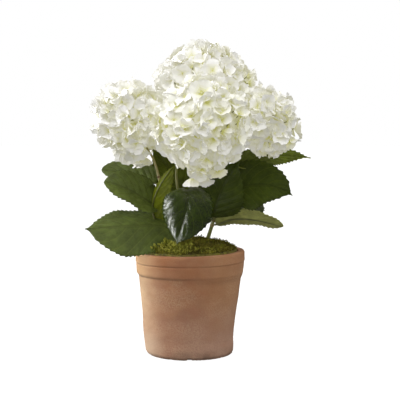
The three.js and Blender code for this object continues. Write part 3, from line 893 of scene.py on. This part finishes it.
leaf_finishes = {}
for label, (blade, vein, rough, mirror) in LEAF_FINISHES.items():
    made, tree, shader = new_finish("leaf_" + label, rough, mirror)
    spots = spotted(tree, 22.0)
    ribs = add(tree, "Group", {"Vector": add(tree, "TexCoord").outputs["UV"]}, node_tree=veins).outputs
    darker = toned(blade, 0.55)
    painted(
        tree, shader, blade,
        (spots["Patches"], toned(blade, 1.5)),
        (times(tree, spots["Blotches"], 0.55), darker),
        (times(tree, ribs["Net"], 0.35), vein),
        (times(tree, ribs["Veins"], 0.75), vein),
        (between(tree, ribs["Across"], 0.10, 0.03, 0.0, 0.5), darker),
    )
    uneven = between(tree, spots["Blotches"], 0.0, 1.0, 0.85 * rough, 1.2 * rough)
    tree.links.new(uneven, shader.inputs["Roughness"])
    raised = combined(tree, "MULTIPLY_ADD", ribs["Net"], -0.6, times(tree, ribs["Veins"], -1.0))
    bumped(tree, shader, raised, 1.1 * rough, 0.0005)
    leaf_finishes[label] = made
stalk_finish, tree, shader = new_finish("leaf_stalk", 0.55)
painted(tree, shader, STALK_GREEN, (spotted(tree, 70.0)["Patches"], STALK_PALE))


def half_width(facts, share):
    """Half the blade's width at a share of its length: rounded at the base, drawn out to a point."""
    half, widest = facts["width"] * MM / 2, facts["widest"]
    if share < widest:
        power, root = (2.0, 0.95) if facts["narrow"] else (2.8, 0.62)
        return half * (1 - (1 - share / widest) ** power) ** root
    share = (share - widest) / (1 - widest)
    if facts["blunt"]:
        return half * max(0.0, 1 - share**2.8) ** 0.7
    drawn = min(1.0, max(0.0, (share - 0.74) / 0.24))
    return half * (1 - share**1.7) * (1 - 0.60 * drawn * drawn * (3 - 2 * drawn))


def midrib(facts):
    """The line of a leaf, from the side of the stem to the tip of the blade: its length, and a function
    that gives the point at a share of it, the direction along, the side and the face."""
    point, along = place_on_stem(facts["stem"], facts["height"] * MM)
    end = Vector(facts["tip"]) * MM
    bend = point.lerp(end, 0.62) + Vector(facts["bow"]) * MM
    out = bend - point
    out = (out - along * out.dot(along)).normalized()
    root = point + out * (stem_radius(facts["stem"], facts["height"] * MM) + CLEAR)
    spring, reach = facts["spring"]
    start = (out + along * spring).normalized() * ((end - root).length * reach)
    controls = (root, root + start, bend, end)
    points = [bezier(controls, k / 200)[0] for k in range(201)]
    lengths = np.cumsum([0.0] + [(b - a).length for a, b in zip(points, points[1:])])
    length = float(lengths[-1])

    def at(share):
        steps = float(np.interp(share * length, lengths, np.arange(201.0)))
        point, along = bezier(controls, steps / 200)
        side = along.cross(Vector(facts["facing"])).normalized()
        return point, along, side, side.cross(along)

    return length, at


stalk_shape = new_shape()
for number, (name, own) in enumerate(LEAVES.items()):
    facts = {**USUAL_LEAF, **own}
    rib_length, rib_at = midrib(facts)
    fold = radians(facts["fold"])
    stalk_share = facts["stalk"] * MM / rib_length
    teeth = round(rib_length * (1 - stalk_share) / TOOTH_PITCH)
    wave = 6.28 * scatter(number, 1.5)

    def blade_place(u, v):
        share = 0.004 + 0.994 * v
        middle, along, side, face = rib_at(stalk_share + (1 - stalk_share) * share)
        across = 2 * u - 1
        edge = abs(across)
        half = max(0.9 * MM, half_width(facts, share))
        run = share * teeth + 0.13 * noise.noise(Vector((share * 9, across, number)))
        tooth = (run % 1.0) ** 1.3
        grown = min(1.0, share / 0.12) * min(1.0, (1 - share) / 0.14)
        out = edge * half + TOOTH_DEPTH * (tooth - 0.35) * grown * edge**9
        out *= 1 + 0.03 * noise.noise(Vector((share * 5, across * 2, number * 3.7)))
        phase = VEIN_PAIRS * (share - VEIN_SLANT * edge**VEIN_BEND)
        far = abs(phase - round(phase)) * 2
        quilt = QUILT_HEIGHT * (sin(pi / 2 * far) - 0.5) * min(1.0, 6 * edge) * (1 - edge**4)
        quilt = quilt * grown - MIDRIB_GROOVE * hump(edge, 0.0, 0.06)
        ripple = EDGE_RIPPLE * edge**2 * sin(14 * share + wave + (2 if across > 0 else 0))
        droop = -facts["droop"] * half * edge**2
        crease = sqrt(edge * edge + 0.004) - 0.063
        return (
            middle + side * copysign(out * cos(fold), across)
            + face * (crease * half * sin(fold) + quilt + ripple + droop)
        )

    leaf_shape = new_shape()
    shaped_grid(leaf_shape, LEAF_COLUMNS, min(150, teeth * 6), blade_place)
    upper, under = leaf_finishes[facts["upper"]], leaf_finishes[facts["under"]]
    leaf = finished("cloth_leaf_" + name, leaf_shape, upper, under)
    walls = leaf.modifiers.new("cloth_thickness", "SOLIDIFY")
    walls.thickness = LEAF_THICKNESS
    walls.offset = 0.0
    walls.material_offset = 1
    walls.material_offset_rim = 1
    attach(leaf, "root")
    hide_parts("leaf_" + name)

    def stalk_width(v, turn):
        closed = 0.05 if v in (0.0, 1.0) else 1.0
        return STALK_RADIUS * (1.12 - 0.92 * v**0.8) * (1 + 0.5 * exp(-v * 60)) * closed

    def stalk_place(v):
        share = v * (stalk_share + (1 - stalk_share) * 0.93)
        middle, along, side, face = rib_at(share)
        under = min(1.0, max(0.0, (share - stalk_share * 0.8) / 0.05))
        return middle - face * ((1.4 * MM + stalk_width(v, 0)) * under), along

    tube(stalk_shape, stalk_place, stalk_width, 44, 8)
leaf_stalks = finished("leaf_stalks", stalk_shape, stalk_finish)
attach(leaf_stalks, "root")

# ------------------------ flower heads
# A mophead of cloth florets: each is four broad petals pressed round a small button and pushed onto a
# thin wire stalk that branches from the stem's tip. Two inner layers of florets fill the gaps; they are a
# tone greener, as painted shade of the depths.
PETAL_LENGTH = 24 * MM
PETAL_WIDTH = 26 * MM
PETAL_CELLS = 6
PETAL_KINDS = 12
FLORET_AREA = 700 * MM * MM
BUTTON_RADIUS = 1.5 * MM
WIRE_RADIUS = 0.8 * MM
PAIR_LIFT = 0.7 * MM
HEADS_APART = 6 * MM
BARE_CONE = 30
PETAL_TONES = {
    "heart": (0.62, 0.62, 0.30, 1),
    "throat": (0.69, 0.685, 0.50, 1),
    "cream": (0.735, 0.73, 0.65, 1),
    "ivory": (0.755, 0.75, 0.715, 1),
    "white": (0.775, 0.77, 0.775, 1),
}
# A small glow stands for the light that thin cloth lets through. It is warmer in the darker tones.
PETAL_GLOW = 0.17
# Each layer: from and to which share of the outline, how crowded, how large, which tone, how far open.
# The inner layers' lower tone is painted shade in the depths of each head.
LAYERS = (
    (0.80, 0.93, 1.45, 0.88, 1, 10, 62),
    (0.69, 0.80, 1.00, 0.88, 0, 8, 50),
    (0.57, 0.67, 0.60, 0.88, 0, 10, 50),
)
CORE_SHARE = 0.55
CORE_LUMPS = 0.10
CORE_TONES = ((0.46, 0.47, 0.16, 1), (0.62, 0.62, 0.28, 1))

petal_tones = []
for label, tone in PETAL_TONES.items():
    made, tree, shader = new_finish("petal_" + label, 0.75, 0.3)
    shader.inputs["Base Color"].default_value = tone
    glow_blue = 0.68 * tone[2] ** 2 / tone[0]
    shader.inputs["Emission Color"].default_value = (tone[0], 0.98 * tone[1], glow_blue, 1)
    shader.inputs["Emission Strength"].default_value = PETAL_GLOW
    place = add(tree, "TexCoord").outputs["Object"]
    weave = add(tree, "TexNoise", {"Vector": place, "Scale": 900.0, "Detail": 2.0})
    bumped(tree, shader, weave.outputs["Fac"], 0.15, 0.0003)
    petal_tones.append(made)


def petal_outline(share):
    """Half the petal's width at a share of its length, as a share of half its greatest width."""
    if share < 0.56:
        return 0.20 + 0.80 * sin(pi / 2 * share / 0.56) ** 0.9
    return 0.52 + 0.48 * sqrt(max(0.0, 1 - ((share - 0.56) / 0.44) ** 2))


def petal(kind):
    """One pressed petal along +Y from the middle of its floret, with its face up."""
    cup = 0.10 + 0.30 * scatter(kind, 21.1)
    curl = 0.30 * (scatter(kind, 22.3) - 0.35)
    ruffle = 0.9 * MM + 1.0 * MM * scatter(kind, 23.7)
    waves, start = 4.0 + 3.0 * scatter(kind, 24.9), 6.28 * scatter(kind, 25.3)
    bias = 0.25 * (scatter(kind, 26.5) - 0.5)

    def corner(u, v):
        across = 2 * u - 1
        half = PETAL_WIDTH / 2 * petal_outline(v)
        notch = 0.05 * cos(3 * across + start) - 0.17 * across * across
        long = PETAL_LENGTH * (0.05 + 0.95 * v + notch * v**4)
        rise = PETAL_LENGTH * (0.16 * sin(pi * v * 0.8) + curl * v**2.6)
        rise += cup * half * across * across * v + bias * across * half * v
        rise += ruffle * sin(waves * across + start) * v**2.2
        rise -= 0.5 * MM * hump(across, 0.0, 0.18) * v
        return Vector((across * half, long, rise))

    shape = new_shape()
    shaped_grid(shape, PETAL_CELLS, PETAL_CELLS, corner, lambda u, v: min(3, int(v * PETAL_CELLS)))
    return pattern(shape)


petals = [petal(kind) for kind in range(PETAL_KINDS)]
button_shape = new_shape()
bmesh.ops.create_icosphere(button_shape, subdivisions=1, radius=BUTTON_RADIUS, calc_uvs=True)
button = pattern(button_shape)
wire_shape = new_shape()
tube(wire_shape, lambda v: (Vector((0, 0, v)), Vector((0, 0, 1))), lambda v, turn: WIRE_RADIUS, 1, 5)
wire = pattern(wire_shape)


def floret_copies(place, outward, spin, size, series, tone, opening):
    """Four petals round a place, each pair a little above the other, more or less open."""
    made = []
    for k in range(4):
        salt = series + 0.37 * k
        pitch = radians(opening + 26 * (scatter(series, 31.0 + k) - 0.5) - 5 * (k % 2))
        yaw = spin + k * pi / 2 + 0.30 * (scatter(series, 35.0 + k) - 0.5)
        roll = 0.45 * (scatter(series, 39.0 + k) - 0.5)
        grown = size * (0.88 + 0.20 * scatter(series, 43.0 + k))
        turn = Matrix.Rotation(yaw, 4, "Z") @ Matrix.Rotation(pitch, 4, "X") @ Matrix.Rotation(roll, 4, "Y")
        lift = Matrix.Translation((0, 0, PAIR_LIFT * (k % 2)))
        kind = int(PETAL_KINDS * scatter(salt * 7.7, 47.0))
        step = min(2, max(0, tone + (scatter(salt, 51.0) > 0.8) - (scatter(salt, 53.0) > 0.8)))
        turn = standing(place, outward, 0.0) @ lift @ turn @ Matrix.Scale(grown, 4)
        made.append((petals[kind], turn, step))
    return made


def head_borders(name):
    """The planes that keep each head to its own side where two heads press together."""
    middle = head_middle(name)
    planes = []
    for other in HEADS:
        if other != name:
            gap = head_middle(other) - middle
            normal = gap.normalized()
            own, theirs = head_reach(name, normal), head_reach(other, -normal)
            planes.append((normal, gap.length * own / (own + theirs)))
    return planes


buttons, wires = [], []
core_shape = new_shape()
for series, (name, facts) in enumerate(HEADS.items(), 1):
    middle = head_middle(name)
    axis = Vector(facts["axis"]).normalized()
    rx, ry, rz = (part * MM for part in facts["radii"])
    tip = bezier(stem_curve(name), 1.0)[0].lerp(middle, STEM_INSIDE)
    borders = head_borders(name)
    copies = []
    for layer, (nearest, furthest, crowd, size, tone, least_open, most_open) in enumerate(LAYERS):
        count = round(crowd * 4 * pi * (rx * ry * rz) ** (2 / 3) / FLORET_AREA)
        for i in range(count):
            key = i + 1000 * layer
            level = 1 - 2 * (i + 0.5) / count
            round_ = i * pi * (3 - sqrt(5)) + scatter(key, series) * 0.6
            flat = sqrt(1 - level * level)
            outward = Vector((flat * cos(round_), flat * sin(round_), level))
            if outward.angle(axis) > pi - radians(BARE_CONE):
                continue
            below = max(0.0, -outward.z) ** 2
            reach = head_reach(name, outward) * (1 - facts["drawn_in"] * 4 * below * (1 - below))
            share = nearest + (furthest - nearest) * scatter(key, series + 0.5)
            place = middle + outward * (reach * share) + Vector((facts["sway"] * MM * below, 0, 0))
            if any((place - middle).dot(normal) > offset - HEADS_APART for normal, offset in borders):
                continue
            tilt = Vector([scatter(key, series + salt) - 0.5 for salt in (0.11, 0.23, 0.31)]) * 1.7
            facing = (outward + tilt).normalized()
            grown = size * (0.86 + 0.24 * scatter(key, series + 0.7))
            spin = scatter(key, series + 0.9) * pi
            opening = least_open + (most_open - least_open) * scatter(key, series + 0.61) ** 1.5
            # Painted light and shade: most florets of the front head are a tone greener, and outer florets
            # facing the window at the left a tone whiter.
            if name == "front":
                painted_light_step = -int(scatter(key, 7.7) > 0.4)
            else:
                painted_light_step = int(layer == 0 and outward.x < -0.3)
            dealt = key + 5000.0 * series
            copies += floret_copies(place, facing, spin, grown, dealt, tone + painted_light_step, opening)
            seat = standing(place + facing * 1.2 * MM, facing, spin)
            buttons.append((button, seat, int(2 * scatter(key, 3.3))))
            way = place - tip
            wires.append((wire, standing(tip, way, 0.0) @ Matrix.Diagonal((1, 1, way.length, 1)), 0))
    head = repeated("petals_" + name, copies, petal_tones)
    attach(head, "root")
    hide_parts("flower_head_" + name)
    core = bmesh.ops.create_icosphere(core_shape, subdivisions=4, radius=1.0)["verts"]
    for vert in core:
        way = vert.co.normalized()
        lumps = 1 + CORE_LUMPS * noise.noise(way * 6 + middle * 40)
        vert.co = middle + way * (head_reach(name, way) * CORE_SHARE * lumps)

flower_buttons = repeated("flower_buttons", buttons, [petal_tones[0], petal_tones[1]])
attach(flower_buttons, "root")
flower_wires = repeated("flower_wires", wires, [stalk_finish])
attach(flower_wires, "root")

core_finish, tree, shader = new_finish("flower_core", 0.9)
painted(tree, shader, CORE_TONES[0], (spotted(tree, 60.0)["Patches"], CORE_TONES[1]))
flower_cores = finished("flower_cores", core_shape, core_finish)
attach(flower_cores, "root")
